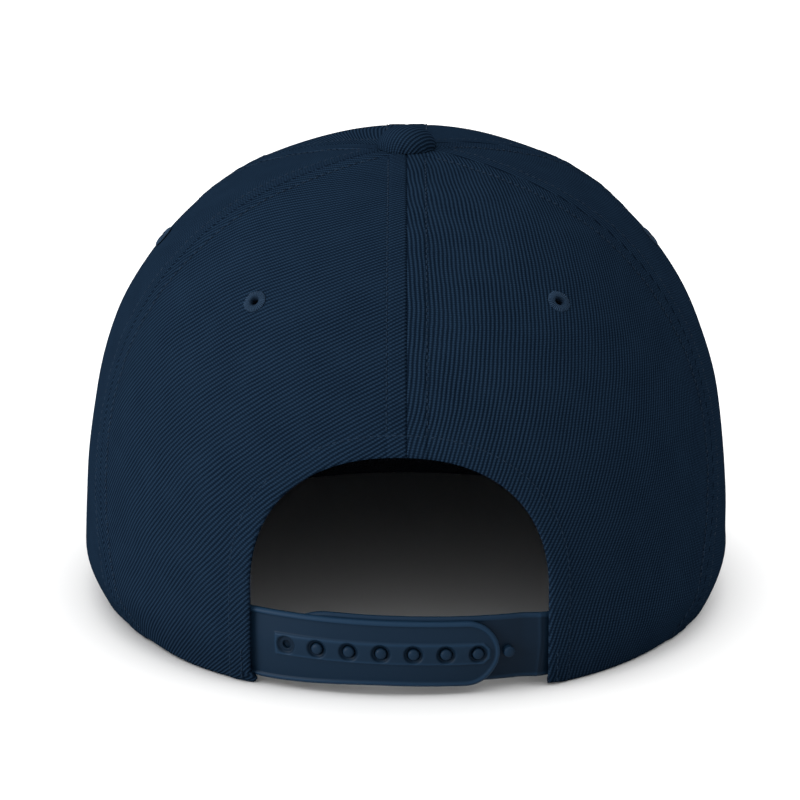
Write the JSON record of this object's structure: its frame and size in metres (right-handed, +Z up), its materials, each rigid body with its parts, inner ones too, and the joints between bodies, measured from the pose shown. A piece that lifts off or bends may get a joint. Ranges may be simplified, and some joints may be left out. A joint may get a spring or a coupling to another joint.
{
  "type": "snapback cap",
  "caption": "Rounded six-panel cloth cap with a flat peak, an arched opening at the back and a plastic snap strap across it.",
  "frame": {"origin": "on the surface that the cap stands on, under the middle of its overall box", "axes": "+Z up out of the crown, -Y ahead along the peak, +X to the wearer's left"},
  "size_m": [0.182, 0.2674, 0.133],
  "materials": {
    "twill": "matt navy twill with fine diagonal ribs",
    "thread": "navy embroidery thread with a slight sheen",
    "band": "plain dark navy cotton band",
    "plastic": "satin moulded navy plastic"
  },
  "bodies": {
    "root": {"crown_panel_back_left": "twill", "crown_panel_back_right": "twill", "crown_panel_side_left": "twill", "crown_panel_side_right": "twill", "crown_panel_front_left": "twill", "crown_panel_front_right": "twill", "eyelet_back_left": "thread", "eyelet_back_right": "thread", "eyelet_side_left": "thread", "eyelet_side_right": "thread", "eyelet_front_left": "thread", "eyelet_front_right": "thread", "button": "twill", "peak": "twill", "sweatband": "band", "strap_holes": "plastic", "strap_pegs": "plastic"}
  },
  "joints": []
}
